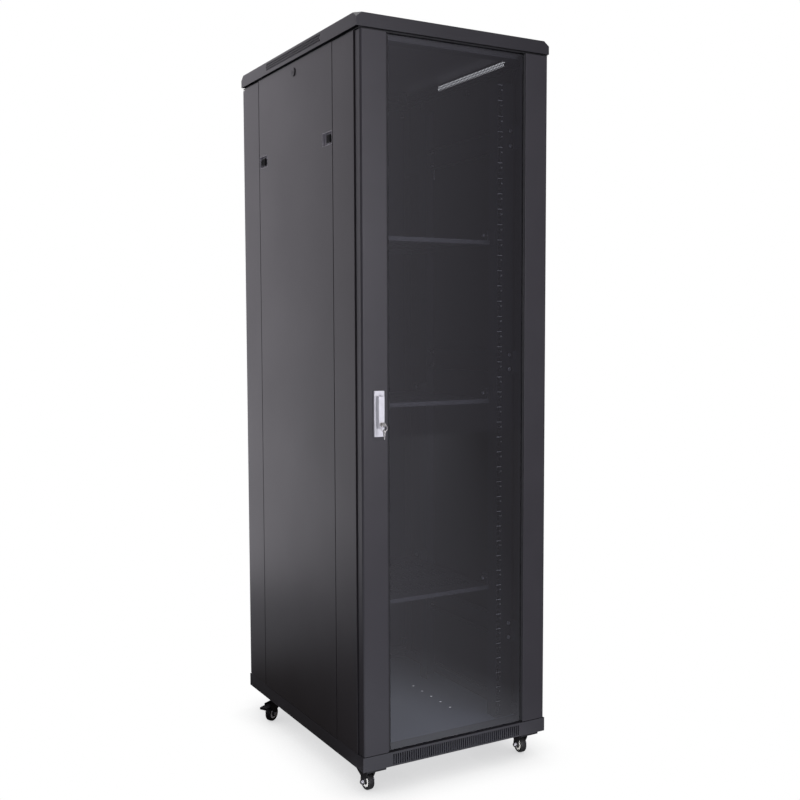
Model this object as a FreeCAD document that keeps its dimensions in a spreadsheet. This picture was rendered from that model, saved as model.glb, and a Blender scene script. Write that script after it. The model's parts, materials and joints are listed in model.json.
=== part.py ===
import FreeCAD, Part
import math
import os
import Sketcher
from FreeCAD import Placement, Rotation, Vector

# A 42 unit network cabinet on casters, in millimetres.
# The origin is on the floor under the middle of the cabinet.
# +Z is up, the front door faces -Y and +X is to the right seen from the front.

DIMENSIONS = {
    # whole cabinet
    "cabinet_width": 600,
    "cabinet_depth": 800,
    "base_bottom": 76,
    "base_height": 39,
    "post_top": 2012.5,
    "frame_top": 2014,
    "roof_bottom": 2018,
    "roof_height": 35,
    "frame_sheet": 2,
    "panel_sheet": 1.5,
    "running_gap": 0.05,
    "overcut": 1,
    # base frame
    "base_side_flange": 18,
    "base_end_flange": 60,
    "base_foot_flange": 80,
    "base_foot_length": 115,
    "vent_slot_width": 3.6,
    "vent_slot_height": 29,
    "vent_slot_rise": 4,
    "vent_slot_pitch": 7,
    "vent_slot_count": 60,
    # floor panel
    "floor_clearance": 6,
    "cable_cutout_width": 180,
    "cable_cutout_depth": 100,
    "cable_cutout_start": 170,
    "floor_hole_radius": 4,
    "floor_hole_pitch": 56,
    "floor_hole_count": 5,
    "floor_hole_offset": 158,
    # corner posts
    "post_width": 18,
    "post_fold": 15,
    "post_return": 40,
    "front_post_start": 367,
    "front_post_end": 245.5,
    "rear_post_start": 266.5,
    "rear_post_end": 375,
    # mounting rails
    "rail_spacing": 465.1,
    "rail_opening": 450,
    "rail_outer": 280,
    "rail_web": 44,
    "rail_sheet": 2,
    "rail_bottom": 81,
    "rail_length": 1879,
    "front_rail_face": 261,
    "rear_rail_face": 180,
    "unit_pitch": 44.45,
    "unit_count": 42,
    "unit_bottom": 87.1,
    "square_hole": 9.5,
    "first_hole_rise": 6.35,
    "hole_step": 15.875,
    # depth braces
    "brace_height": 64,
    "brace_low": 345,
    "brace_middle": 1153,
    "brace_high": 1805,
    "brace_flange": 20,
    "brace_front_end": 360,
    "brace_rear_end": 370,
    "brace_screw_offset": 270,
    "brace_screw_spread": 21.5,
    # shelves
    "shelf_half_width": 198,
    "shelf_low": 491,
    "shelf_middle": 1046,
    "shelf_high": 1507,
    "shelf_lip": 12,
    "shelf_ear_width": 36,
    "shelf_ear_height": 30,
    "shelf_screw_setback": 29,
    "shelf_screw_rise": 16,
    "shelf_slot_width": 6,
    "shelf_slot_length": 90,
    "shelf_slot_pitch": 27,
    "shelf_slot_count": 13,
    "shelf_slot_row_pitch": 130,
    "shelf_slot_middle": -40,
    "shelf_bracket_drop": 10,
    "shelf_bracket_length": 28,
    # M6 screws
    "screw_radius": 3,
    "screw_length": 14,
    "screw_head_radius": 5.5,
    "screw_head_height": 3.5,
    "screw_head_round": 1.4,
    "screw_socket_flats": 4,
    "screw_socket_depth": 2,
    "screw_hole_radius": 3.3,
    # roof cover
    "roof_width": 611,
    "roof_depth": 788,
    "roof_facet": 17,
    "roof_facet_drop": 13,
    "roof_vent_width": 4.8,
    "roof_vent_height": 5.4,
    "roof_vent_pitch": 7.6,
    "roof_vent_row_pitch": 6.8,
    "roof_vent_columns": 49,
    "roof_vent_rows": 3,
    "roof_vent_start": -182,
    "roof_vent_bottom": 2028,
    # top frame
    "top_beam": 40,
    "top_side_beam": 15,
    "top_beam_height": 14,
    "top_rim_inset": 8,
    "top_rim_end_inset": 15,
    "top_rim_height": 6,
    "roof_pillar": 20,
    "roof_pillar_offset": 264,
    "roof_pillar_setback": 349,
    "corner_plate_inner": 282,
    "corner_plate_outer": 299,
    "corner_plate_start": 325,
    "corner_plate_end": 396,
    # doors
    "door_bottom": 117,
    "door_top": 2010,
    "door_half_width": 297,
    "front_door_thickness": 28,
    "stile_width": 76,
    "stile_wall": 1.5,
    "stile_plug": 30,
    "stile_outer_round": 6,
    "stile_inner_round": 1.5,
    "glass_thickness": 5,
    "glass_setback": 4,
    "glass_insert": 5,
    "glass_end_gap": 3.5,
    "seal_lip": 2,
    "seal_cover": 6,
    "hinge_offset": 289,
    "hinge_setback": 19,
    "hinge_pin_radius": 4,
    "hinge_pin_collar": 7,
    "hinge_pin_depth": 20,
    "hinge_end_space": 2,
    "hinge_play": 0.4,
    "hinge_keeper": 2.5,
    "hinge_pin_tail": 3,
    "rear_door_thickness": 20,
    "rear_plug_width": 20,
    "rear_hinge_offset": 389,
    # rear door lock
    "rear_lock_offset": 262,
    "rear_lock_head_radius": 14,
    "rear_lock_head_height": 3,
    "rear_lock_length": 37,
    "rear_cam_length": 18,
    "wing_thickness": 7,
    "wing_length": 26,
    "wing_height": 16,
    # swing handle
    "handle_offset": 249.5,
    "handle_pivot_height": 1074,
    "handle_plate_width": 30,
    "handle_plate_bottom": 970.5,
    "handle_plate_height": 120.5,
    "handle_plate_thickness": 6,
    "handle_plate_round": 2,
    "lever_width": 17,
    "lever_bottom": 993,
    "lever_thickness": 11,
    "lever_gap": 1,
    "lever_pin_depth": 4,
    "lever_pin_radius": 2,
    "lever_slot_width": 6.6,
    "lock_height": 1004,
    "lock_radius": 5.5,
    "spindle_radius": 6,
    "spindle_overhang": 14,
    "tongue_width": 6,
    "tongue_height": 7.2,
    "cam_length": 31,
    "cam_width": 14,
    "cam_thickness": 4,
    "cam_tip_length": 4,
    "cam_tip_width": 8,
    "key_thickness": 2,
    "keyway_height": 7.2,
    "keyway_depth": 9,
    "key_hole_radius": 3,
    "key_bow_radius": 6.5,
    "key_bow_reach": 13,
    "key_ring_radius": 9,
    "key_ring_wire": 0.8,
    # side panels
    "panel_start": -242.5,
    "panel_end": 263.5,
    "panel_bottom": 116,
    "panel_top": 2013,
    "panel_fold": 13,
    "latch_height": 1764,
    "latch_recess_length": 60,
    "latch_recess_height": 36,
    "latch_recess_depth": 10,
    "front_latch_centre": -211,
    "rear_latch_centre": 232,
    "latch_tip_gap": 0.3,
    "latch_tab_length": 22,
    "latch_tab_height": 21,
    "latch_bolt_height": 12,
    "latch_bolt_thickness": 2.6,
    "latch_bolt_depth": 6,
    "latch_bolt_play": 0.35,
    "latch_cup_wall": 1.5,
    "latch_tab_depth": 5.5,
    "latch_tab_thickness": 4,
    "latch_tab_shift": 4,
    "latch_rib_height": 1,
    "latch_rib_width": 1.4,
    "latch_rib_length": 18,
    "latch_rib_pitch": 4.2,
    "latch_rib_count": 5,
    "panel_lock_height": 1986,
    "panel_lock_offset": 4,
    "panel_lock_radius": 9.5,
    "panel_lock_head_radius": 12,
    "panel_lock_head_height": 2.5,
    "panel_lock_length": 17,
    "panel_cam_width": 12,
    "panel_cam_length": 21,
    "panel_slot_width": 1.6,
    "panel_slot_length": 10,
    "panel_slot_depth": 1.5,
    # casters
    "wheel_radius": 24,
    "wheel_width": 19,
    "caster_trail": 25,
    "axle_radius": 4,
    "fork_gap": 11,
    "fork_cheek": 2.5,
    "fork_crown_bottom": 54.5,
    "fork_crown_top": 60,
    "raceway_radius": 18,
    "raceway_top": 65,
    "kingpin_top": 71.5,
    "axle_flats": 13,
    "axle_nut": 6.5,
    "axle_head": 5.3,
    "axle_tail": 9,
    "bracket_bottom": 66,
    "bracket_floor": 4,
    "bracket_width": 60,
    "bracket_length": 102,
    "bracket_inset": 46,
    "bracket_behind_pin": 28,
    "kingpin_radius": 8,
    "front_caster_offset": 258,
    "front_caster_setback": 316,
    "rear_caster_offset": 264,
    "rear_caster_setback": 268,
    "pedal_pin_setback": 15,
    "pedal_pin_drop": 22.5,
    "pedal_pin_radius": 2,
    "pedal_thickness": 5,
    "pedal_reach": 30,
    "pedal_width": 26,
}

doc = FreeCAD.newDocument("network_cabinet")
sheet = doc.addObject("Spreadsheet::Sheet", "dims")
for row, (name, number) in enumerate(DIMENSIONS.items(), start=1):
    sheet.set(f"A{row}", name)
    sheet.set(f"B{row}", str(number))
    sheet.setAlias(f"B{row}", name)
doc.recompute()

sub_parts = []


class Size:
    """A number together with the spreadsheet expression that it comes from."""

    def __init__(self, number, text):
        self.number = number
        self.text = text

    def __add__(self, other):
        other = as_size(other)
        return Size(self.number + other.number, f"({self.text} + {other.text})")

    def __radd__(self, other):
        return as_size(other) + self

    def __sub__(self, other):
        other = as_size(other)
        return Size(self.number - other.number, f"({self.text} - {other.text})")

    def __rsub__(self, other):
        return as_size(other) - self

    def __mul__(self, other):
        other = as_size(other)
        return Size(self.number * other.number, f"({self.text} * {other.text})")

    __rmul__ = __mul__

    def __truediv__(self, other):
        other = as_size(other)
        return Size(self.number / other.number, f"({self.text} / {other.text})")

    def __neg__(self):
        return Size(-self.number, f"(0 - {self.text})")

    def __float__(self):
        return float(self.number)


def as_size(value):
    return value if isinstance(value, Size) else Size(float(value), str(value))


class Dimensions:
    """Each spreadsheet cell as a Size, by its alias."""

    def __getattr__(self, alias):
        return Size(float(sheet.get(alias)), f"dims.{alias}")


d = Dimensions()


def bind(owner, path, value):
    owner.setExpression(path, as_size(value).text)


class Circle:
    """A round outline in a sketch."""

    def __init__(self, x, y, radius):
        self.x = as_size(x)
        self.y = as_size(y)
        self.radius = as_size(radius)


def rectangle(x_low, x_high, y_low, y_high):
    return [(x_low, y_low), (x_high, y_low), (x_high, y_high), (x_low, y_high)]


def middle_rectangle(x, y, width, height):
    return rectangle(x - width / 2, x + width / 2, y - height / 2, y + height / 2)


def constrain_point(sketch, edge, corner, x, y):
    """Hold one point of an edge at x, y from the sketch's origin."""
    for kind, value in (("DistanceX", x), ("DistanceY", y)):
        value = as_size(value)
        index = sketch.addConstraint(Sketcher.Constraint(kind, -1, 1, edge, corner, value.number))
        sketch.setExpression(f"Constraints[{index}]", value.text)


def draw_polygon(sketch, corners):
    first = sketch.GeometryCount
    count = len(corners)
    points = [Vector(float(x), float(y), 0) for x, y in corners]
    for index, point in enumerate(points):
        sketch.addGeometry(Part.LineSegment(point, points[(index + 1) % count]), False)
    for index in range(count):
        following = first + (index + 1) % count
        sketch.addConstraint(Sketcher.Constraint("Coincident", first + index, 2, following, 1))
    for index, (x, y) in enumerate(corners):
        constrain_point(sketch, first + index, 1, x, y)


def draw_circle(sketch, circle):
    edge = sketch.GeometryCount
    middle = Vector(float(circle.x), float(circle.y), 0)
    sketch.addGeometry(Part.Circle(middle, Vector(0, 0, 1), float(circle.radius)), False)
    constrain_point(sketch, edge, 3, circle.x, circle.y)
    index = sketch.addConstraint(Sketcher.Constraint("Radius", edge, circle.radius.number))
    sketch.setExpression(f"Constraints[{index}]", circle.radius.text)


class Piece:
    """One sub-part built from sketches and PartDesign features."""

    def __init__(self, name):
        self.name = name
        self.body = doc.addObject("PartDesign::Body", name)
        self.body.Label = name
        sub_parts.append(self.body)

    def origin_feature(self, role):
        return next(item for item in self.body.Origin.OriginFeatures if item.Role == role)

    def sketch(self, plane, offset, outlines):
        sketch = self.body.newObject("Sketcher::SketchObject", f"{self.name}_sketch")
        sketch.AttachmentSupport = [(self.origin_feature(f"{plane}_Plane"), "")]
        sketch.MapMode = "FlatFace"
        bind(sketch, "AttachmentOffset.Base.z", offset)
        for outline in outlines:
            if isinstance(outline, Circle):
                draw_circle(sketch, outline)
            else:
                draw_polygon(sketch, outline)
        return sketch

    def extrude(self, kind, plane, offset, outlines, length, backwards):
        feature = self.body.newObject(f"PartDesign::{kind}", f"{self.name}_{kind.lower()}")
        feature.Profile = self.sketch(plane, offset, outlines)
        bind(feature, "Length", length)
        feature.Reversed = backwards
        return feature

    def pad(self, plane, offset, outlines, length, backwards=False):
        """Add material along the plane's normal: +Z on XY, -Y on XZ and +X on YZ."""
        return self.extrude("Pad", plane, offset, outlines, length, backwards)

    def pocket(self, plane, offset, outlines, length, backwards=False):
        """Cut material against the plane's normal: -Z on XY, +Y on XZ and -X on YZ."""
        return self.extrude("Pocket", plane, offset, outlines, length, backwards)

    def repeat(self, feature, axis, pitch, count):
        """Repeat a feature count times along an axis of the body."""
        pattern = self.body.newObject("PartDesign::LinearPattern", f"{self.name}_pattern")
        pattern.Originals = [feature]
        pattern.Direction = (self.origin_feature(f"{axis}_Axis"), [""])
        bind(pattern, "Length", pitch * (count - 1))
        bind(pattern, "Occurrences", count)
        self.body.Tip = pattern

    def round_edges(self, radius, chosen):
        """Fillet the edges for which chosen(middle, direction) is true."""
        doc.recompute()
        base = self.body.Tip
        names = []
        for index, edge in enumerate(base.Shape.Edges, start=1):
            straight = edge.Curve.TypeId == "Part::GeomLine"
            if straight and chosen(edge.CenterOfMass, edge.tangentAt(edge.FirstParameter)):
                names.append(f"Edge{index}")
        fillet = self.body.newObject("PartDesign::Fillet", f"{self.name}_fillet")
        fillet.Base = (base, names)
        bind(fillet, "Radius", radius)


def feature_node(name, shape, placement=Placement()):
    """A sub-part, or a group of like sub-parts, whose shape is worked out in code."""
    node = doc.addObject("Part::Feature", name)
    node.Label = name
    node.Shape = shape
    node.Placement = placement
    sub_parts.append(node)


def block(x_low, x_high, y_low, y_high, z_low, z_high):
    """A box between two corners, given in any order along each axis."""
    x_low, x_high = sorted((float(x_low), float(x_high)))
    y_low, y_high = sorted((float(y_low), float(y_high)))
    z_low, z_high = sorted((float(z_low), float(z_high)))
    corner = Vector(x_low, y_low, z_low)
    return Part.makeBox(x_high - x_low, y_high - y_low, z_high - z_low, corner)


def rod(radius, length, x, y, z, axis=Vector(0, 0, 1)):
    return Part.makeCylinder(float(radius), float(length), Vector(float(x), float(y), float(z)), axis)


def hexagon_prism(across_flats, height, base, axis):
    """A hexagonal prism that starts at base and runs along axis."""
    corner_radius = across_flats / math.sqrt(3)
    corners = []
    for index in range(7):
        angle = math.radians(60 * index + 30)
        corners.append(Vector(corner_radius * math.cos(angle), corner_radius * math.sin(angle), 0))
    prism = Part.Face(Part.makePolygon(corners)).extrude(Vector(0, 0, height))
    prism.Placement = Placement(base, Rotation(Vector(0, 0, 1), axis))
    return prism


half_width = d.cabinet_width / 2
half_depth = d.cabinet_depth / 2
base_top = d.base_bottom + d.base_height
SIDES = (("left", -1), ("right", 1))


# ---------------------------------------------------------------- base and floor

def make_base_frame():
    """A ring of folded channel with vent slots in its front and rear faces."""
    base = Piece("base_frame")
    base.pad("XY", d.base_bottom, [rectangle(-half_width, half_width, -half_depth, half_depth)], d.base_height)
    side = half_width - d.base_side_flange
    end = half_depth - d.base_end_flange
    base.pocket("XY", base_top, [rectangle(-side, side, -end, end)], d.base_height - d.frame_sheet)
    wall_x = half_width - d.frame_sheet
    wall_y = half_depth - d.frame_sheet
    inside_height = d.base_height - d.frame_sheet * 2
    base.pocket("XY", base_top - d.frame_sheet, [rectangle(-wall_x, wall_x, -wall_y, wall_y)], inside_height)
    foot_x = half_width - d.base_foot_flange
    foot_y = half_depth - d.base_foot_length
    base.pocket("XY", base_top, [rectangle(-foot_x, foot_x, -foot_y, foot_y)], d.base_height)
    pins = [Circle(d.hinge_offset, -(half_depth - d.hinge_setback), d.hinge_pin_radius + d.running_gap)]
    pins.append(Circle(d.hinge_offset, d.rear_hinge_offset, d.hinge_pin_radius + d.running_gap))
    base.pocket("XY", base_top, pins, d.frame_sheet + d.overcut)
    first_x = -d.vent_slot_pitch * (d.vent_slot_count - 1) / 2
    slot_middle = d.base_bottom + d.vent_slot_rise + d.vent_slot_height / 2
    outline = middle_rectangle(first_x, slot_middle, d.vent_slot_width, d.vent_slot_height)
    slot = base.pocket("XZ", half_depth, [outline], d.cabinet_depth)
    base.repeat(slot, "X", d.vent_slot_pitch, d.vent_slot_count)


def make_floor_panel():
    """The bottom sheet, with a cable cut-out at the rear and two rows of fixing holes."""
    floor = Piece("floor_panel")
    half_x = half_width - d.floor_clearance
    half_y = half_depth - d.floor_clearance
    level = d.base_bottom + d.frame_sheet
    floor.pad("XY", level, [rectangle(-half_x, half_x, -half_y, half_y)], d.panel_sheet)
    cutout_half = d.cable_cutout_width / 2
    cutout_end = d.cable_cutout_start + d.cable_cutout_depth
    cutout = rectangle(-cutout_half, cutout_half, d.cable_cutout_start, cutout_end)
    floor.pocket("XY", level + d.panel_sheet, [cutout], d.panel_sheet)
    first_y = -d.floor_hole_pitch * (d.floor_hole_count - 1) / 2
    holes = [Circle(side * d.floor_hole_offset, first_y, d.floor_hole_radius) for _, side in SIDES]
    pair = floor.pocket("XY", level + d.panel_sheet, holes, d.panel_sheet)
    floor.repeat(pair, "Y", d.floor_hole_pitch, d.floor_hole_count)


def make_caster_brackets():
    """A shallow pressed tray under each corner that takes the caster's kingpin."""
    solids = []
    for _, side in SIDES:
        for end, setback in ((-1, d.front_caster_setback), (1, d.rear_caster_setback)):
            x = side * (half_width - d.bracket_inset)
            inner_y = end * (setback - d.bracket_behind_pin)
            outer_y = inner_y + end * d.bracket_length
            x_low = x - d.bracket_width / 2
            x_high = x + d.bracket_width / 2
            tray = block(x_low, x_high, inner_y, outer_y, d.bracket_bottom, d.base_bottom)
            wall = float(d.frame_sheet)
            y_low, y_high = sorted((float(inner_y), float(outer_y)))
            hollow_floor = d.bracket_bottom + d.bracket_floor
            hollow = block(x_low + wall, x_high - wall, y_low + wall, y_high - wall, hollow_floor, d.base_bottom)
            offset = d.front_caster_offset if end < 0 else d.rear_caster_offset
            bore_radius = d.kingpin_radius + d.running_gap
            bore_length = d.bracket_floor + d.overcut * 2
            bore = rod(bore_radius, bore_length, side * offset, end * setback, d.bracket_bottom - d.overcut)
            solids.append(tray.cut([hollow, bore]))
    feature_node("caster_brackets", Part.makeCompound(solids))


# ---------------------------------------------------------------- posts and top frame

def make_post(end_name, side_name, side):
    """A folded corner post: a wide side face, a narrow door face and two returns."""
    if end_name == "front":
        door_y = -d.front_post_start
        panel_y = -d.front_post_end
        inward = 1
    else:
        door_y = d.rear_post_end
        panel_y = d.rear_post_start
        inward = -1
    sheet_y = inward * d.frame_sheet
    outer = side * half_width
    outer_inside = side * (half_width - d.frame_sheet)
    inner = side * (half_width - d.post_width)
    inner_outside = side * (half_width - d.post_width + d.frame_sheet)
    fold = side * (half_width - d.post_fold)
    outline = [
        (outer, door_y),
        (outer, panel_y),
        (fold, panel_y),
        (fold, panel_y - sheet_y),
        (outer_inside, panel_y - sheet_y),
        (outer_inside, door_y + sheet_y),
        (inner_outside, door_y + sheet_y),
        (inner_outside, door_y + inward * d.post_return),
        (inner, door_y + inward * d.post_return),
        (inner, door_y),
    ]
    post = Piece(f"{end_name}_{side_name}_post")
    post.pad("XY", base_top, [outline], d.post_top - base_top)


def make_top_frame():
    """Welded roof ring: a channel below, a flat plate, a rim and four roof pillars."""
    ring = Piece("top_frame")
    beam_x = half_width - d.post_width
    rim_x = half_width - d.top_rim_inset
    rim_y = half_depth - d.top_rim_end_inset
    opening_x = beam_x - d.top_side_beam
    opening_y = d.front_post_start - d.top_beam
    ring.pad("XY", d.frame_top, [rectangle(-rim_x, rim_x, -rim_y, rim_y)], d.top_rim_height)
    sheet_in = d.frame_sheet
    inside = rectangle(-rim_x + sheet_in, rim_x - sheet_in, -rim_y + sheet_in, rim_y - sheet_in)
    ring.pocket("XY", d.frame_top + d.top_rim_height, [inside], d.top_rim_height - sheet_in)
    channel = rectangle(-beam_x, beam_x, -d.front_post_start, d.rear_post_end)
    ring.pad("XY", d.frame_top - d.top_beam_height, [channel], d.top_beam_height)
    hollow_front = -d.front_post_start + sheet_in
    hollow = rectangle(-beam_x + sheet_in, beam_x - sheet_in, hollow_front, d.rear_post_end - sheet_in)
    ring.pocket("XY", d.frame_top, [hollow], d.top_beam_height - sheet_in)
    opening = rectangle(-opening_x, opening_x, -opening_y, opening_y)
    ring.pocket("XY", d.frame_top + d.frame_sheet, [opening], d.top_beam_height + d.frame_sheet)
    pillars = []
    for _, side in SIDES:
        for end in (-1, 1):
            pillar_x = side * d.roof_pillar_offset
            pillar_y = end * d.roof_pillar_setback
            pillars.append(middle_rectangle(pillar_x, pillar_y, d.roof_pillar, d.roof_pillar))
    pillar_bottom = d.frame_top + sheet_in / 2
    pillar_top = d.roof_bottom + d.roof_height - d.panel_sheet
    ring.pad("XY", pillar_bottom, pillars, pillar_top - pillar_bottom)


def make_corner_plates():
    """A flat plate on top of each post; the right-hand pair holds the upper door pins."""
    solids = []
    for _, side in SIDES:
        for end in (-1, 1):
            plate = block(side * d.corner_plate_inner, side * d.corner_plate_outer,
                          end * d.corner_plate_start, end * d.corner_plate_end, d.post_top, d.frame_top)
            if side > 0:
                pin_y = -(half_depth - d.hinge_setback) if end < 0 else d.rear_hinge_offset
                bore_length = d.frame_top - d.post_top + d.overcut * 2
                bore_start = d.post_top - d.overcut
                bore = rod(d.hinge_pin_radius + d.running_gap, bore_length, d.hinge_offset, pin_y, bore_start)
                plate = plate.cut(bore)
            solids.append(plate)
    feature_node("corner_plates", Part.makeCompound(solids))


def make_roof_cover():
    """A folded tray with three-sided facets at its upper corners and side vents."""
    x = float(d.roof_width / 2)
    y = float(d.roof_depth / 2)
    bottom = float(d.roof_bottom)
    top = float(d.roof_bottom + d.roof_height)
    facet = float(d.roof_facet)
    drop = float(d.roof_facet_drop)
    cover = block(-x, x, -y, y, bottom, top)
    for side in (-1, 1):
        for end in (-1, 1):
            peak = Vector(side * x, end * y, top)
            along_x = peak - Vector(side * facet, 0, 0)
            along_y = peak - Vector(0, end * facet, 0)
            below = peak - Vector(0, 0, drop)
            outward = ((peak - along_x) + (peak - along_y) + (peak - below)).normalize()
            cut_face = Part.Face(Part.makePolygon([along_x, along_y, below, along_x]))
            cover = cover.cut(cut_face.extrude(outward * (facet * 2)))
    open_face = min(cover.Faces, key=lambda face: face.CenterOfMass.z)
    shell = cover.makeThickness([open_face], -float(d.panel_sheet), 0.001)
    vents = []
    inner_x = x - float(d.panel_sheet + d.overcut)
    outer_x = x + float(d.overcut)
    for row in range(int(float(d.roof_vent_rows))):
        stagger = float(d.roof_vent_pitch) / 2 * (row % 2)
        vent_z = float(d.roof_vent_bottom) + row * float(d.roof_vent_row_pitch)
        vent_top = vent_z + float(d.roof_vent_height)
        for column in range(int(float(d.roof_vent_columns))):
            vent_y = float(d.roof_vent_start) + stagger + column * float(d.roof_vent_pitch)
            vent_end = vent_y + float(d.roof_vent_width)
            for side in (-1, 1):
                vents.append(block(side * inner_x, side * outer_x, vent_y, vent_end, vent_z, vent_top))
    feature_node("roof_cover", shell.cut(vents))


# ---------------------------------------------------------------- rails, braces, shelves

def make_rail(end_name, side_name, side):
    """An L-shaped mounting rail with three square holes in each rack unit."""
    end = -1 if end_name == "front" else 1
    face = end * (d.front_rail_face if end < 0 else d.rear_rail_face)
    flange_back = face - end * d.rail_sheet
    web_back = face - end * d.rail_web
    edge = side * d.rail_opening / 2
    web_outside = side * (d.rail_opening / 2 + d.rail_sheet)
    outer = side * d.rail_outer
    outline = [
        (edge, face),
        (outer, face),
        (outer, flange_back),
        (web_outside, flange_back),
        (web_outside, web_back),
        (edge, web_back),
    ]
    rail = Piece(f"{end_name}_{side_name}_rail")
    rail.pad("XY", d.rail_bottom, [outline], d.rail_length)
    screws = []
    for height in (d.brace_low, d.brace_middle, d.brace_high):
        for step in (-1, 1):
            screw_z = height + step * d.brace_screw_spread
            screws.append(Circle(side * d.brace_screw_offset, screw_z, d.screw_hole_radius))
    start = -face + d.overcut if end < 0 else -face + d.rail_sheet + d.overcut
    rail.pocket("XZ", start, screws, d.rail_sheet + d.overcut * 2)
    holes = []
    for step in range(3):
        hole_z = d.unit_bottom + d.first_hole_rise + step * d.hole_step
        holes.append(middle_rectangle(side * d.rail_spacing / 2, hole_z, d.square_hole, d.square_hole))
    unit = rail.pocket("XZ", start, holes, d.rail_sheet + d.overcut * 2)
    rail.repeat(unit, "Z", d.unit_pitch, d.unit_count)


def make_depth_braces():
    """Six channels from front post to rear post that carry the mounting rails."""
    solids = []
    sheet_size = float(d.frame_sheet)
    inner = float(d.rail_outer)
    flange = inner - float(d.brace_flange)
    front = -float(d.front_rail_face) + sheet_size
    rear = float(d.rear_rail_face) - sheet_size
    for _, side in SIDES:
        for height in (d.brace_low, d.brace_middle, d.brace_high):
            low = float(height - d.brace_height / 2)
            high = float(height + d.brace_height / 2)
            web = block(side * inner, side * (inner + sheet_size), -d.brace_front_end, d.brace_rear_end, low, high)
            lower = block(side * flange, side * inner, front, rear, low, low + sheet_size)
            upper = block(side * flange, side * inner, front, rear, high - sheet_size, high)
            front_tab = block(side * flange, side * inner, front, front + sheet_size, low, high)
            rear_tab = block(side * flange, side * inner, rear - sheet_size, rear, low, high)
            brace = web.fuse([lower, upper, front_tab, rear_tab]).removeSplitter()
            holes = []
            for step in (-1, 1):
                screw_z = height + step * d.brace_screw_spread
                for tab_front in (front, rear - sheet_size):
                    start = tab_front - float(d.overcut)
                    holes.append(rod(d.screw_hole_radius, sheet_size + 2 * float(d.overcut),
                                     side * d.brace_screw_offset, start, screw_z, Vector(0, 1, 0)))
            solids.append(brace.cut(holes))
    feature_node("depth_braces", Part.makeCompound(solids))


def make_shelf(name, level):
    """A vented tray with turned-down lips and four upright fixing ears."""
    shelf = Piece(name)
    half_x = d.shelf_half_width
    front = -d.front_rail_face
    rear = d.rear_rail_face
    shelf.pad("XY", level - d.shelf_lip, [rectangle(-half_x, half_x, front, rear)], d.shelf_lip)
    wall = d.panel_sheet
    under = rectangle(-half_x + wall, half_x - wall, front + wall, rear - wall)
    shelf.pocket("XY", level - wall, [under], d.shelf_lip)
    ears = []
    holes = []
    for ear_y in (front + d.shelf_screw_setback, rear - d.shelf_screw_setback):
        half_ear = d.shelf_ear_width / 2
        ears.append(rectangle(ear_y - half_ear, ear_y + half_ear, level - wall, level + d.shelf_ear_height))
        holes.append(Circle(ear_y, level + d.shelf_screw_rise, d.screw_hole_radius))
    shelf.pad("YZ", half_x - wall, ears, wall)
    shelf.pad("YZ", -half_x, ears, wall)
    shelf.pocket("YZ", half_x + d.overcut, holes, (half_x + d.overcut) * 2)
    first_x = -d.shelf_slot_pitch * (d.shelf_slot_count - 1) / 2
    slots = []
    for row in (-1, 0, 1):
        row_y = d.shelf_slot_middle + row * d.shelf_slot_row_pitch
        slots.append(middle_rectangle(first_x, row_y, d.shelf_slot_width, d.shelf_slot_length))
    column = shelf.pocket("XY", level + d.overcut, slots, wall + d.overcut * 2)
    shelf.repeat(column, "X", d.shelf_slot_pitch, d.shelf_slot_count)


def shelf_fixings():
    """Side, direction, screw position along Y and level of each shelf fixing."""
    for level in (d.shelf_low, d.shelf_middle, d.shelf_high):
        for _, side in SIDES:
            for end, face in ((-1, d.front_rail_face), (1, d.rear_rail_face)):
                yield side, end, float(end * (face - d.shelf_screw_setback)), float(level)


def make_shelf_brackets():
    """Twelve spacer brackets between the shelf ears and the rail webs."""
    solids = []
    inner = float(d.shelf_half_width)
    outer = float(d.rail_opening / 2)
    wall = float(d.frame_sheet)
    overcut = float(d.overcut)
    half_length = float(d.shelf_bracket_length / 2)
    for side, end, screw_y, level in shelf_fixings():
        low = level - float(d.shelf_bracket_drop)
        high = level + float(d.shelf_ear_height)
        near = screw_y - end * half_length
        far = screw_y + end * half_length
        ear_leg = block(side * inner, side * (inner + wall), near, far, low, high)
        rail_leg = block(side * (outer - wall), side * outer, near, far, low, high)
        bridge = block(side * inner, side * outer, near, near + end * wall, low, high)
        bracket = ear_leg.fuse([rail_leg, bridge]).removeSplitter()
        screw_z = level + float(d.shelf_screw_rise)
        outward = Vector(side, 0, 0)
        hole = rod(d.screw_hole_radius, wall + 2 * overcut, side * (inner - overcut), screw_y, screw_z, outward)
        solids.append(bracket.cut(hole))
    feature_node("shelf_brackets", Part.makeCompound(solids))


def make_screw():
    """An M6 screw pointing along +Z with its head below the origin."""
    head = Part.makeCylinder(float(d.screw_head_radius), float(d.screw_head_height))
    rim = max(head.Edges, key=lambda edge: edge.CenterOfMass.z)
    head = head.makeFillet(float(d.screw_head_round), [rim])
    head.rotate(Vector(0, 0, 0), Vector(1, 0, 0), 180)
    shank = rod(d.screw_radius, d.screw_length, 0, 0, -d.overcut)
    socket_start = Vector(0, 0, -float(d.screw_head_height + d.overcut))
    socket_length = float(d.screw_socket_depth + d.overcut)
    socket = hexagon_prism(float(d.screw_socket_flats), socket_length, socket_start, Vector(0, 0, 1))
    return head.fuse(shank).cut(socket)


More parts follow.
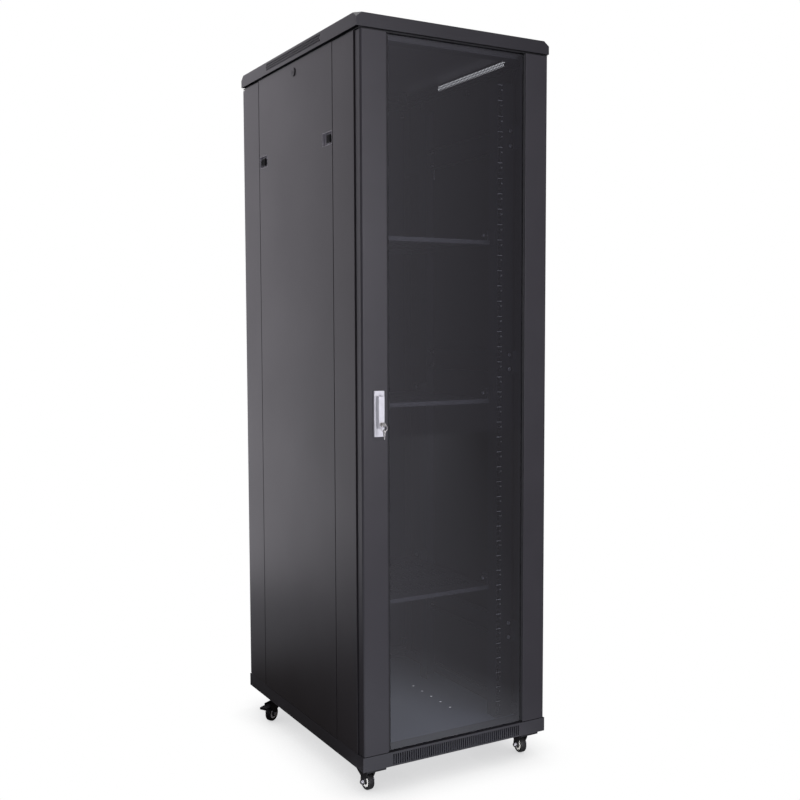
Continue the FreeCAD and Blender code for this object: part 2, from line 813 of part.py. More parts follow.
def make_m6_screws():
    """Like screws that hold the rails to the braces and the shelves to their brackets."""
    screw = make_screw()
    solids = []
    for _, side in SIDES:
        for height in (d.brace_low, d.brace_middle, d.brace_high):
            for step in (-1, 1):
                z = float(height + step * d.brace_screw_spread)
                x = side * float(d.brace_screw_offset)
                for end, face in ((-1, d.front_rail_face), (1, d.rear_rail_face)):
                    turn = Rotation(Vector(0, 0, 1), Vector(0, -end, 0))
                    spot = Placement(Vector(x, end * float(face), z), turn)
                    solids.append(screw.transformed(spot.toMatrix()))
    ear_face = float(d.shelf_half_width - d.panel_sheet)
    for side, _, screw_y, level in shelf_fixings():
        place = Vector(side * ear_face, screw_y, level + float(d.shelf_screw_rise))
        spot = Placement(place, Rotation(Vector(0, 0, 1), Vector(side, 0, 0)))
        solids.append(screw.transformed(spot.toMatrix()))
    feature_node("m6_screws", Part.makeCompound(solids))


# ---------------------------------------------------------------- front door

door_front = -half_depth
door_back = -half_depth + d.front_door_thickness
door_height = d.door_top - d.door_bottom
glass_front = door_front + d.glass_setback
glass_back = glass_front + d.glass_thickness
stile_inner = d.door_half_width - d.stile_width
glass_edge = stile_inner + d.glass_insert


def make_stile(side_name, side):
    """A hollow door upright with plugged ends and a groove for the glass."""
    stile = Piece(f"door_{side_name}_stile")
    outer = side * d.door_half_width
    inner = side * stile_inner
    stile.pad("XY", d.door_bottom, [rectangle(inner, outer, door_front, door_back)], door_height)

    def front_edge(middle, direction):
        return abs(direction.z) > 0.9 and middle.y < float(door_front) + 1

    middle_x = float(d.door_half_width + stile_inner) / 2
    stile.round_edges(d.stile_outer_round, lambda middle, direction: (
        front_edge(middle, direction) and abs(middle.x) > middle_x))
    stile.round_edges(d.stile_inner_round, lambda middle, direction: (
        front_edge(middle, direction) and abs(middle.x) < middle_x))
    groove_back = glass_back + d.seal_lip
    groove_front = glass_front - d.seal_lip
    groove_end = side * (glass_edge + d.seal_lip)
    groove = rectangle(inner - side * d.overcut, groove_end, groove_front, groove_back)
    stile.pocket("XY", d.door_top, [groove], door_height)
    wall = d.stile_wall
    void = [
        (outer - side * wall, door_front + d.stile_outer_round),
        (outer - side * d.stile_outer_round, door_front + wall),
        (groove_end + side * wall, door_front + wall),
        (groove_end + side * wall, groove_back + wall),
        (inner + side * wall, groove_back + wall),
        (inner + side * wall, door_back - wall),
        (outer - side * wall, door_back - wall),
    ]
    void_top = d.door_top - d.stile_plug
    stile.pocket("XY", void_top, [void], door_height - d.stile_plug * 2)
    if side > 0:
        bore = Circle(d.hinge_offset, door_front + d.hinge_setback, d.hinge_pin_radius + d.running_gap)
        stile.pocket("XY", d.door_top, [bore], d.hinge_pin_depth + d.hinge_end_space)
        stile.pocket("XY", d.door_bottom, [bore], d.hinge_pin_depth + d.hinge_end_space, backwards=True)
    else:
        bore = Circle(-d.handle_offset, d.handle_pivot_height, d.spindle_radius + d.running_gap)
        stile.pocket("XZ", -door_front + d.overcut, [bore], d.front_door_thickness + d.overcut * 2)


def make_door_glass():
    glass = Piece("door_glass")
    low = d.door_bottom + d.glass_end_gap
    height = door_height - d.glass_end_gap * 2
    glass.pad("XY", low, [rectangle(-glass_edge, glass_edge, glass_front, glass_back)], height)


def make_glass_seals():
    """A U-shaped rubber strip along each upright edge of the glass."""
    solids = []
    low = float(d.door_bottom + d.glass_end_gap)
    high = float(d.door_top - d.glass_end_gap)
    for _, side in SIDES:
        inner = side * (stile_inner - d.seal_cover)
        outer = side * (glass_edge + d.seal_lip)
        overcut = float(d.overcut)
        strip = block(inner, outer, glass_front - d.seal_lip, glass_back + d.seal_lip, low, high)
        slot_inner = inner - side * overcut
        slot = block(slot_inner, side * glass_edge, glass_front, glass_back, low - overcut, high + overcut)
        solids.append(strip.cut(slot))
    feature_node("glass_seals", Part.makeCompound(solids))


def hinge_pins(name, pin_y, door_low, door_high):
    """A lower and an upper pin, each with a collar that carries or guides the door."""
    solids = []
    x = float(d.hinge_offset)
    y = float(pin_y)
    radius = d.hinge_pin_radius
    collar = d.hinge_pin_collar
    depth = d.hinge_pin_depth
    play = float(d.hinge_play)
    keeper_height = float(d.hinge_keeper)
    flange_bottom = float(base_top - d.frame_sheet)
    lower_start = flange_bottom - float(d.hinge_pin_tail)
    lower = rod(radius, door_low + depth - lower_start, x, y, lower_start)
    rest = rod(collar, door_low - play - base_top, x, y, base_top)
    keeper = rod(collar, keeper_height, x, y, flange_bottom - keeper_height)
    solids.append(lower.fuse([rest, keeper]).removeSplitter())
    upper = rod(radius, d.frame_top - door_high + depth, x, y, door_high - depth)
    guide = rod(collar, d.post_top - door_high - play, x, y, door_high + play)
    solids.append(upper.fuse(guide).removeSplitter())
    feature_node(name, Part.makeCompound(solids))


def make_handle_plate():
    plate = Piece("handle_plate")
    low = d.handle_plate_bottom
    high = d.handle_plate_bottom + d.handle_plate_height
    half = d.handle_plate_width / 2
    outline = rectangle(-d.handle_offset - half, -d.handle_offset + half, low, high)
    bore = Circle(-d.handle_offset, d.handle_pivot_height, d.spindle_radius + d.running_gap)
    plate.pad("XZ", -door_front, [outline, bore], d.handle_plate_thickness)
    plate.round_edges(d.handle_plate_round, lambda middle, direction: abs(direction.y) > 0.9)


lever_back = door_front - d.handle_plate_thickness - d.lever_gap
lever_pin_y = lever_back - d.lever_pin_depth
lever_front = lever_back - d.lever_thickness


def make_handle_spindle():
    """The shaft through the door with the tongue and cross pin that hold the lever."""
    x = -float(d.handle_offset)
    z = float(d.handle_pivot_height)
    overlap = float(d.overcut)
    front = float(door_front - d.handle_plate_thickness) + 2 * overlap
    back = float(door_back + d.spindle_overhang)
    shaft = rod(d.spindle_radius, back - front, x, front, z, Vector(0, 1, 0))
    half_width_x = float(d.tongue_width / 2)
    half_height = float(d.tongue_height / 2)
    tongue_front = float(lever_pin_y) - half_height
    tongue = block(x - half_width_x, x + half_width_x, tongue_front, front + overlap,
                   z - half_height, z + half_height)
    half_pin = float(d.lever_width / 2 - d.overcut)
    pin = rod(d.lever_pin_radius, half_pin * 2, x - half_pin, float(lever_pin_y), z, Vector(1, 0, 0))
    feature_node("handle_spindle", shaft.fuse([tongue, pin]).removeSplitter())


def make_latch_cam():
    """The flat cam on the inner end of the spindle, pointing at the post."""
    x = -float(d.handle_offset)
    z = float(d.handle_pivot_height)
    back = float(door_back + d.spindle_overhang)
    front = back - float(d.cam_thickness)
    half = float(d.cam_width) / 2
    disc = rod(half, d.cam_thickness, x, front, z, Vector(0, 1, 0))
    tip_x = x - float(d.cam_length)
    tip_length = float(d.cam_tip_length)
    tip_half = float(d.cam_tip_width / 2)
    overcut = float(d.overcut)
    arm = block(x, tip_x + tip_length, front, back, z - half, z + half)
    tip = block(tip_x + tip_length + overcut, tip_x, front, back, z - tip_half, z + tip_half)
    bore = rod(d.spindle_radius, d.cam_thickness + 2 * overcut, x, front - overcut, z, Vector(0, 1, 0))
    feature_node("latch_cam", disc.fuse([arm, tip]).removeSplitter().cut(bore))


def make_handle_lever():
    """The swing lever: slotted for the spindle's tongue and bored for the lock."""
    lever = Piece("handle_lever")
    half = d.lever_width / 2
    z = d.handle_pivot_height
    outline = [
        (lever_back, d.lever_bottom + 3),
        (lever_back, z),
        (lever_back - 1.2, z + 2.8),
        (lever_pin_y, z + 4),
        (lever_front + 1, z + 4),
        (lever_front, z + 2),
        (lever_front, d.lever_bottom + 14),
        (lever_front + 4, d.lever_bottom),
        (lever_back - 2, d.lever_bottom),
    ]
    lever.pad("YZ", -d.handle_offset - half, [outline], d.lever_width)
    slot = middle_rectangle(lever_pin_y + 1, z, as_size(15), as_size(16))
    lever.pocket("YZ", -d.handle_offset + d.lever_slot_width / 2, [slot], d.lever_slot_width)
    pin_bore = Circle(lever_pin_y, z, d.lever_pin_radius + d.running_gap)
    pin_end = half - d.overcut + 0.2
    lever.pocket("YZ", -d.handle_offset + pin_end, [pin_bore], pin_end * 2)
    lock_bore = Circle(-d.handle_offset, d.lock_height, d.lock_radius + d.running_gap)
    lever.pocket("XZ", -lever_front + d.overcut, [lock_bore], d.lever_thickness)


def make_lock_barrel():
    x = -float(d.handle_offset)
    z = float(d.lock_height)
    front = float(lever_front - d.overcut)
    barrel = rod(d.lock_radius, d.lever_thickness, x, front, z, Vector(0, 1, 0))
    half_slot = float(d.key_thickness / 2 + d.running_gap)
    half_height = float(d.keyway_height / 2)
    keyway_end = front + float(d.keyway_depth)
    keyway = block(x - half_slot, x + half_slot, front - float(d.overcut), keyway_end,
                   z - half_height, z + half_height)
    feature_node("lock_barrel", barrel.cut(keyway))


def key_shape():
    """A flat key in the YZ plane: its bow hole at the origin, its blade along +Y."""
    half = float(d.key_thickness) / 2
    across = Vector(1, 0, 0)
    bow = Part.makeCylinder(float(d.key_bow_radius), half * 2, Vector(-half, 0, 0), across)
    shoulder = block(-half, half, 4, 10, -4.4, 4.4)
    blade = block(-half, half, 8, 20, -3.4, 2)
    bits = []
    for index in range(3):
        bit_y = 12.6 + 2.6 * index
        bits.append(block(-half, half, bit_y, bit_y + 1.5, -3.6, -2.2 + 0.6 * (index % 2)))
    hole = Part.makeCylinder(float(d.key_hole_radius), 8, Vector(-4, 0, 0), across)
    return bow.fuse([shoulder, blade]).removeSplitter().cut(bits + [hole])


key_bow_y = float(lever_front - d.key_bow_reach)


def make_keys():
    """One key in the lock, and a ring through its bow that carries the spare key."""
    x = -float(d.handle_offset)
    z = float(d.lock_height)
    bow = Vector(x, key_bow_y, z)
    feature_node("door_key", key_shape(), Placement(bow, Rotation()))
    radius = float(d.key_ring_radius)
    ring_middle = bow - Vector(0, 0, radius)
    ring = Part.makeTorus(radius, float(d.key_ring_wire), Vector(0, 0, 0), Vector(0, 1, 0))
    feature_node("key_ring", ring, Placement(ring_middle, Rotation()))
    spare_bow = ring_middle - Vector(0, 0, radius)
    feature_node("spare_key", key_shape(), Placement(spare_bow, Rotation(Vector(1, 0, 0), -90)))


# ---------------------------------------------------------------- rear door

def make_rear_door():
    """A folded steel door with plugs for the pins and a bore for the lock."""
    door = Piece("rear_door")
    half = d.door_half_width
    inner_y = half_depth - d.rear_door_thickness
    wall = d.panel_sheet
    door.pad("XY", d.door_bottom, [rectangle(-half, half, inner_y, half_depth)], door_height)
    inside = rectangle(-half + wall, half - wall, d.door_bottom + wall, d.door_top - wall)
    door.pocket("XZ", -inner_y, [inside], d.rear_door_thickness - wall)
    in_wall = wall / 2
    plug = rectangle(half - d.rear_plug_width, half - in_wall, inner_y, half_depth - in_wall)
    door.pad("XY", d.door_bottom + in_wall, [plug], d.stile_plug)
    door.pad("XY", d.door_top - d.stile_plug, [plug], d.stile_plug - in_wall)
    bore = Circle(d.hinge_offset, d.rear_hinge_offset, d.hinge_pin_radius + d.running_gap)
    door.pocket("XY", d.door_top, [bore], d.hinge_pin_depth + d.hinge_end_space)
    door.pocket("XY", d.door_bottom, [bore], d.hinge_pin_depth + d.hinge_end_space, backwards=True)
    lock = Circle(-d.rear_lock_offset, d.handle_pivot_height, d.panel_lock_radius + d.running_gap)
    door.pocket("XZ", -half_depth + wall + d.overcut, [lock], wall + d.overcut * 2)


def make_rear_lock():
    """A quarter-turn lock with a wing grip, a barrel and a cam inside the door post."""
    x = -float(d.rear_lock_offset)
    z = float(d.handle_pivot_height)
    outside = float(half_depth)
    head_front = outside + float(d.rear_lock_head_height)
    length = float(d.rear_lock_length)
    back = head_front - length
    sheet_size = float(d.rear_lock_head_height)
    axis = Vector(0, -1, 0)
    head = rod(d.rear_lock_head_radius, d.rear_lock_head_height, x, head_front, z, axis)
    half_wing = float(d.wing_thickness / 2)
    wing_reach = float(d.wing_length / 2)
    wing_end = outside + float(d.wing_height)
    wing = block(x - half_wing, x + half_wing, outside + 2, wing_end, z - wing_reach, z + wing_reach)
    barrel = rod(d.panel_lock_radius, length, x, head_front, z, axis)
    half_cam = float(d.cam_width / 2)
    cam = block(x - float(d.rear_cam_length), x, back, back + sheet_size, z - half_cam, z + half_cam)
    feature_node("rear_lock", head.fuse([wing, barrel, cam]).removeSplitter())


# ---------------------------------------------------------------- side panels

bolt_slot_width = d.latch_bolt_thickness + d.latch_bolt_play * 2
bolt_slot_height = d.latch_bolt_height + d.latch_bolt_play * 4


def make_side_panel(side_name, side):
    """A lift-off steel tray with two latch recesses and a lock bore."""
    panel = Piece(f"{side_name}_side_panel")
    wall = d.panel_sheet
    inner_x = half_width - d.panel_fold
    start = side * inner_x if side > 0 else -half_width
    outline = rectangle(d.panel_start, d.panel_end, d.panel_bottom, d.panel_top)
    panel.pad("YZ", start, [outline], d.panel_fold)
    inside = rectangle(d.panel_start + wall, d.panel_end - wall, d.panel_bottom + wall, d.panel_top - wall)
    recesses = []
    for centre in (d.front_latch_centre, d.rear_latch_centre):
        recesses.append(middle_rectangle(centre, d.latch_height, d.latch_recess_length, d.latch_recess_height))
    lock = Circle(d.panel_lock_offset, d.panel_lock_height, d.panel_lock_radius + d.running_gap)
    bolt_x = side * (half_width - d.latch_bolt_depth)
    bolt_slot = middle_rectangle(bolt_x, d.latch_height, bolt_slot_width, bolt_slot_height)
    panel.pocket("YZ", side * inner_x, [inside], d.panel_fold - wall, backwards=side > 0)
    outside = side * (half_width + d.overcut)
    panel.pocket("YZ", outside, recesses + [lock], wall + d.overcut * 2, backwards=side < 0)
    slot_length = d.panel_end - d.panel_start + d.overcut * 2
    panel.pocket("XZ", -d.panel_start + d.overcut, [bolt_slot], slot_length)


LATCHES = (("front", -1), ("rear", 1))


def latch_frame(end):
    """Centre of a latch recess along Y, and the panel edge that its bolt points at."""
    if end < 0:
        return float(d.front_latch_centre), float(d.panel_start)
    return float(d.rear_latch_centre), float(d.panel_end)


def make_latch_housings(side_name, side):
    """Two shallow cups let into the panel that guide the latch bolts."""
    solids = []
    z = float(d.latch_height)
    half_length = float(d.latch_recess_length) / 2
    half_height = float(d.latch_recess_height) / 2
    outer = float(half_width)
    bottom = outer - float(d.latch_recess_depth)
    wall = float(d.latch_cup_wall)
    overcut = float(d.overcut)
    bolt_x = outer - float(d.latch_bolt_depth)
    half_slot = float(bolt_slot_width / 2)
    half_slot_height = float(bolt_slot_height / 2)
    for _, end in LATCHES:
        centre, _ = latch_frame(end)
        cup = block(side * bottom, side * outer, centre - half_length, centre + half_length,
                    z - half_height, z + half_height)
        hollow = block(side * (bottom + wall), side * (outer + overcut), centre - half_length + wall,
                       centre + half_length - wall, z - half_height + wall, z + half_height - wall)
        slot_start = centre + end * (half_length - wall - overcut)
        slot_end = centre + end * (half_length + overcut)
        slot = block(side * (bolt_x - half_slot), side * (bolt_x + half_slot), slot_start, slot_end,
                     z - half_slot_height, z + half_slot_height)
        solids.append(cup.cut([hollow, slot]))
    feature_node(f"{side_name}_latch_housings", Part.makeCompound(solids))


def make_latch(side_name, side, end_name, end):
    """A sliding bolt with a ribbed thumb tab."""
    z = float(d.latch_height)
    outer = float(half_width)
    centre, edge = latch_frame(end)
    tip = edge - end * float(d.latch_tip_gap)
    tab_half = float(d.latch_tab_length) / 2
    tab_y = centre + end * float(d.latch_tab_shift)
    bolt_x = outer - float(d.latch_bolt_depth)
    half_bolt = float(d.latch_bolt_thickness) / 2
    bolt_half = float(d.latch_bolt_height) / 2
    bolt = block(side * (bolt_x - half_bolt), side * (bolt_x + half_bolt), tip, tab_y - end * tab_half,
                 z - bolt_half, z + bolt_half)
    tab_back = outer - float(d.latch_tab_depth)
    tab_front = tab_back + float(d.latch_tab_thickness)
    half_height = float(d.latch_tab_height) / 2
    tab = block(side * tab_back, side * tab_front, tab_y - tab_half, tab_y + tab_half,
                z - half_height, z + half_height)
    half_rib = float(d.latch_rib_width) / 2
    rib_reach = float(d.latch_rib_length) / 2
    rib_top = tab_front + float(d.latch_rib_height)
    rib_count = int(float(d.latch_rib_count))
    ribs = []
    for index in range(rib_count):
        rib_y = tab_y + float(d.latch_rib_pitch) * (index - (rib_count - 1) / 2)
        ribs.append(block(side * (tab_front - half_rib), side * rib_top, rib_y - half_rib, rib_y + half_rib,
                          z - rib_reach, z + rib_reach))
    feature_node(f"{side_name}_{end_name}_latch", bolt.fuse([tab] + ribs).removeSplitter())


def make_panel_lock(side_name, side):
    """A cam lock at the top of a side panel with its cam pointing up."""
    y = float(d.panel_lock_offset)
    z = float(d.panel_lock_height)
    outer = float(half_width)
    sheet_size = float(d.panel_lock_head_height)
    length = float(d.panel_lock_length)
    face = outer + sheet_size
    back = face - length
    axis = Vector(-side, 0, 0)
    head = rod(d.panel_lock_head_radius, sheet_size, side * face, y, z, axis)
    barrel = rod(d.panel_lock_radius, length, side * face, y, z, axis)
    half_cam = float(d.panel_cam_width) / 2
    cam_top = z + float(d.panel_cam_length)
    cam = block(side * back, side * (back + sheet_size), y - half_cam, y + half_cam, z, cam_top)
    half_slot = float(d.panel_slot_width) / 2
    slot_reach = float(d.panel_slot_length) / 2
    slot_bottom = face - float(d.panel_slot_depth)
    slot = block(side * slot_bottom, side * (face + float(d.overcut)), y - slot_reach, y + slot_reach,
                 z - half_slot, z + half_slot)
    feature_node(f"{side_name}_panel_lock", head.fuse([barrel, cam]).removeSplitter().cut(slot))


# ---------------------------------------------------------------- casters
# Each caster is drawn with its swivel axis on Z and its wheel ahead of it along -Y.

def caster_spots():
    """Name, position, turn about Z and whether the caster has a brake."""
    front_x = float(d.front_caster_offset)
    front_y = -float(d.front_caster_setback)
    rear_x = float(d.rear_caster_offset)
    rear_y = float(d.rear_caster_setback)
    return (
        ("front_left", -front_x, front_y, 4, False),
        ("front_right", front_x, front_y, -4, False),
        ("rear_left", -rear_x, rear_y, -59, True),
        ("rear_right", rear_x, rear_y, 42, True),
    )


wheel_level = float(d.wheel_radius)
pedal_pin_y = -float(d.caster_trail + d.pedal_pin_setback)
pedal_pin_z = float(d.base_bottom - d.pedal_pin_drop)


def make_caster_fork(name, spot, braked):
    """Two cheeks, a swivel head and a kingpin, pressed and riveted as one piece."""
    gap = float(d.fork_gap)
    cheek = float(d.fork_cheek)
    trail = float(d.caster_trail)
    crown_top = float(d.fork_crown_top)
    crown_bottom = float(d.fork_crown_bottom)
    side_view = [
        (14, crown_top), (14, 52), (-12, 36), (-19, 17.5),
        (-31, 17.5), (-36, 36), (-44, 49), (-46, crown_top),
    ]
    corners = [Vector(gap, y, z) for y, z in side_view]
    cheek_face = Part.Face(Part.makePolygon(corners + corners[:1]))
    right_cheek = cheek_face.extrude(Vector(cheek, 0, 0))
    left_cheek = right_cheek.mirror(Vector(0, 0, 0), Vector(1, 0, 0))
    crown = block(-gap, gap, 14, -22, crown_bottom, crown_top)
    raceway = rod(d.raceway_radius, d.raceway_top - crown_top, 0, 0, crown_top)
    kingpin = rod(d.kingpin_radius, d.kingpin_top - crown_top, 0, 0, crown_top)
    fork = crown.fuse([right_cheek, left_cheek, raceway, kingpin]).removeSplitter()
    width = (gap + cheek + float(d.overcut)) * 2
    across = Vector(1, 0, 0)
    cuts = [rod(d.axle_radius + d.running_gap, width, -width / 2, -trail, wheel_level, across)]
    if braked:
        cuts.append(rod(d.pedal_pin_radius + d.running_gap, width, -width / 2, pedal_pin_y, pedal_pin_z, across))
    feature_node(f"{name}_caster_fork", fork.cut(cuts), spot)


def make_caster_axle(name, spot):
    """The axle bolt with a hexagonal head and a nut."""
    outside = float(d.fork_gap + d.fork_cheek)
    trail = float(d.caster_trail)
    axis = Vector(1, 0, 0)
    shaft_start = -outside - float(d.axle_tail)
    shaft_end = outside + float(d.overcut)
    shaft = rod(d.axle_radius, shaft_end - shaft_start, shaft_start, -trail, wheel_level, axis)
    flats = float(d.axle_flats)
    nut = hexagon_prism(flats, float(d.axle_nut), Vector(-outside, -trail, wheel_level), -axis)
    head = hexagon_prism(flats, float(d.axle_head), Vector(outside, -trail, wheel_level), axis)
    feature_node(f"{name}_caster_axle", shaft.fuse([nut, head]).removeSplitter(), spot)


def make_caster_wheel(name, spot):
    """A wheel turned about its axle, with a crowned tread and a dished hub."""
    half = float(d.wheel_width) / 2
    radius = float(d.wheel_radius)
    bore = float(d.axle_radius + d.running_gap)
    profile = [
        (-half - 1, bore), (-half - 1, 8), (-half + 2.5, 8.6), (-half + 2.5, 16), (-half, 17.5),
        (-half, radius - 3), (-half + 2.5, radius - 0.6), (-half + 5, radius),
        (half - 5, radius), (half - 2.5, radius - 0.6), (half, radius - 3),
        (half, 17.5), (half - 2.5, 16), (half - 2.5, 8.6), (half + 1, 8), (half + 1, bore),
    ]
    middle = Vector(0, -float(d.caster_trail), wheel_level)
    corners = [middle + Vector(x, 0, r) for x, r in profile]
    face = Part.Face(Part.makePolygon(corners + corners[:1]))
    feature_node(f"{name}_caster_wheel", face.revolve(middle, Vector(1, 0, 0), 360), spot)


def make_brake_pedal(name, spot):
    """A pressed foot pedal on a cross pin between the fork cheeks."""
    half = float(d.pedal_width) / 2
    inner = float(d.fork_gap) - 0.4
    low = pedal_pin_z - float(d.pedal_thickness) / 2
    high = pedal_pin_z + float(d.pedal_thickness) / 2
    foot_top = pedal_pin_z + 1
    tip_y = pedal_pin_y - float(d.pedal_reach)
    pin_length = (float(d.fork_gap) + float(d.fork_cheek)) * 2
    pin = rod(d.pedal_pin_radius, pin_length, -pin_length / 2, pedal_pin_y, pedal_pin_z, Vector(1, 0, 0))
    arm = block(-inner, inner, pedal_pin_y + 4, pedal_pin_y - 9, low, high)
    foot = block(-half, half, pedal_pin_y - 8, tip_y, low, foot_top)
    lip = block(-half, half, tip_y, tip_y + 3, low - 3.5, foot_top)
    feature_node(f"{name}_brake_pedal", arm.fuse([pin, foot, lip]).removeSplitter(), spot)


# ---------------------------------------------------------------- assembly

make_base_frame()
make_floor_panel()
make_caster_brackets()
make_top_frame()
make_corner_plates()
make_roof_cover()
make_depth_braces()
for side_name, side in SIDES:
    for end_name in ("front", "rear"):
        make_post(end_name, side_name, side)
        make_rail(end_name, side_name, side)
make_shelf("bottom_shelf", d.shelf_low)
make_shelf("middle_shelf", d.shelf_middle)
make_shelf("top_shelf", d.shelf_high)
make_shelf_brackets()
make_m6_screws()

for side_name, side in SIDES:
    make_stile(side_name, side)
make_door_glass()
make_glass_seals()
hinge_pins("front_hinge_pins", -(half_depth - d.hinge_setback), float(d.door_bottom), float(d.door_top))
make_handle_plate()
make_handle_spindle()
make_latch_cam()
make_handle_lever()
make_lock_barrel()
make_keys()

make_rear_door()
hinge_pins("rear_hinge_pins", d.rear_hinge_offset, float(d.door_bottom), float(d.door_top))
make_rear_lock()

for side_name, side in SIDES:
    make_side_panel(side_name, side)
    make_latch_housings(side_name, side)
    for end_name, end in LATCHES:
        make_latch(side_name, side, end_name, end)
    make_panel_lock(side_name, side)

for name, x, y, turn, braked in caster_spots():
    spot = Placement(Vector(x, y, 0), Rotation(Vector(0, 0, 1), turn))
    make_caster_fork(name, spot, braked)
    make_caster_axle(name, spot)
    make_caster_wheel(name, spot)
    if braked:
        make_brake_pedal(name, spot)

doc.recompute()


# ---------------------------------------------------------------- checks and files

for item in doc.Objects:
    faults = {"Invalid", "Error"} & set(item.State)
    if faults:
        raise RuntimeError(f"{item.Label} is {faults}")
    if item.TypeId == "PartDesign::Pocket" and item.BaseFeature:
        if item.Shape.Volume >= item.BaseFeature.Shape.Volume - 1e-3:
            raise RuntimeError(f"{item.Label} cuts nothing")

os.makedirs("parts", exist_ok=True)
for node in sub_parts:
    shape = node.Shape
    if shape.isNull() or not shape.isValid() or not shape.Solids:
        raise RuntimeError(f"{node.Label} has no valid solid")
    shape.exportStep(f"parts/{node.Label}.step")
    print(f"{node.Label}: {len(shape.Solids)} solids, {shape.Volume / 1000:.1f} cm3")
print(f"{len(sub_parts)} nodes")
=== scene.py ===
import json
import math

import bmesh
import bpy
from mathutils import Euler, Matrix, Vector


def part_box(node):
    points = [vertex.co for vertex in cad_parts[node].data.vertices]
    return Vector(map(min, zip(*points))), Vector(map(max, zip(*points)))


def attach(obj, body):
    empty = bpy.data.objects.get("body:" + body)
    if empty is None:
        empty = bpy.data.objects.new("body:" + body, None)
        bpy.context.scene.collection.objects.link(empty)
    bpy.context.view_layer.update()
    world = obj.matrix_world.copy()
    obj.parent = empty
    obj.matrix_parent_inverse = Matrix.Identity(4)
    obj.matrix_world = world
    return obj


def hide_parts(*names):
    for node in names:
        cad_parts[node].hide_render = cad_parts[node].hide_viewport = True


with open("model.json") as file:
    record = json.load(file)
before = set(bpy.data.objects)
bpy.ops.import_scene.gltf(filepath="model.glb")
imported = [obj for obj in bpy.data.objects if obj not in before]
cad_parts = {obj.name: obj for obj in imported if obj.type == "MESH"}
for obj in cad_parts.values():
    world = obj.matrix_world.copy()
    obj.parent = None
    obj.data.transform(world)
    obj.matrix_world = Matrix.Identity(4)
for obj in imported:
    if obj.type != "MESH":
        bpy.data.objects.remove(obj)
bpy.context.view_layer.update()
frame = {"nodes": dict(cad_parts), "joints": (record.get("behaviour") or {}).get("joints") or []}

MM = 0.001
nodes = frame["nodes"]
SIDES = (("left", -1), ("right", 1))
REAR_CORNERS = ("rear_left", "rear_right")
CORNERS = ("front_left", "front_right", *REAR_CORNERS)


# ---------------------------------------------------------------- node helpers

class Shader:
    """A material being built, with short calls for its nodes and links."""

    def __init__(self, name):
        self.material = bpy.data.materials.new(name)
        self.material.use_nodes = True
        self.tree = self.material.node_tree
        self.tree.nodes.clear()
        self.output = self.add("ShaderNodeOutputMaterial")
        self.coordinates = self.add("ShaderNodeTexCoord").outputs["Object"]

    def add(self, kind, **settings):
        node = self.tree.nodes.new(kind)
        for key, value in settings.items():
            setattr(node, key, value)
        return node

    def link(self, source, target):
        self.tree.links.new(source, target)

    def noise(self, scale, detail=3.0, roughness=0.5, squeeze=None):
        """Noise in metres of the object's own frame, finer along an axis by its squeeze."""
        node = self.add("ShaderNodeTexNoise")
        node.inputs["Scale"].default_value = scale
        node.inputs["Detail"].default_value = detail
        node.inputs["Roughness"].default_value = roughness
        source = self.coordinates
        if squeeze:
            mapping = self.add("ShaderNodeMapping")
            mapping.inputs["Scale"].default_value = squeeze
            self.link(source, mapping.inputs["Vector"])
            source = mapping.outputs["Vector"]
        self.link(source, node.inputs["Vector"])
        return node.outputs["Fac"]

    def ramp(self, source, low, high, first, last):
        """Maps source from low..high to first..last."""
        node = self.add("ShaderNodeMapRange")
        node.inputs["From Min"].default_value = low
        node.inputs["From Max"].default_value = high
        node.inputs["To Min"].default_value = first
        node.inputs["To Max"].default_value = last
        self.link(source, node.inputs["Value"])
        return node.outputs["Result"]

    def blend_colours(self, factor, first, second):
        """A Mix node's colour sockets are its inputs 6 and 7 and its output 2."""
        node = self.add("ShaderNodeMix", data_type="RGBA")
        self.link(factor, node.inputs["Factor"])
        for value, socket in ((first, node.inputs[6]), (second, node.inputs[7])):
            if isinstance(value, tuple):
                socket.default_value = (*value, 1)
            else:
                self.link(value, socket)
        return node.outputs[2]

    def bump(self, height, strength, distance, below=None):
        node = self.add("ShaderNodeBump")
        node.inputs["Strength"].default_value = strength
        node.inputs["Distance"].default_value = distance
        self.link(height, node.inputs["Height"])
        if below:
            self.link(below, node.inputs["Normal"])
        return node.outputs["Normal"]

    def glow(self, colour):
        node = self.add("ShaderNodeEmission")
        self.link(colour, node.inputs["Color"])
        return node.outputs[0]

    def multiply(self, first, second):
        node = self.add("ShaderNodeMath", operation="MULTIPLY")
        self.link(first, node.inputs[0])
        self.link(second, node.inputs[1])
        return node.outputs[0]

    def finish_mixed(self, factor, first, second):
        """Ends the material in a mix of two shaders, all second where factor is 1."""
        mix = self.add("ShaderNodeMixShader")
        for index, socket in enumerate((factor, first, second)):
            self.link(socket, mix.inputs[index])
        self.link(mix.outputs[0], self.output.inputs["Surface"])
        return self.material

    def surface(self, colour, roughness, normal=None, **constants):
        """A Principled surface. Colour and roughness are sockets or plain values."""
        node = self.add("ShaderNodeBsdfPrincipled")
        for value, name in ((colour, "Base Color"), (roughness, "Roughness")):
            if isinstance(value, tuple):
                node.inputs[name].default_value = (*value, 1)
            elif isinstance(value, float):
                node.inputs[name].default_value = value
            else:
                self.link(value, node.inputs[name])
        if normal:
            self.link(normal, node.inputs["Normal"])
        for name, value in constants.items():
            node.inputs[name.replace("_", " ")].default_value = value
        self.link(node.outputs[0], self.output.inputs["Surface"])
        return self.material


# ---------------------------------------------------------------- materials

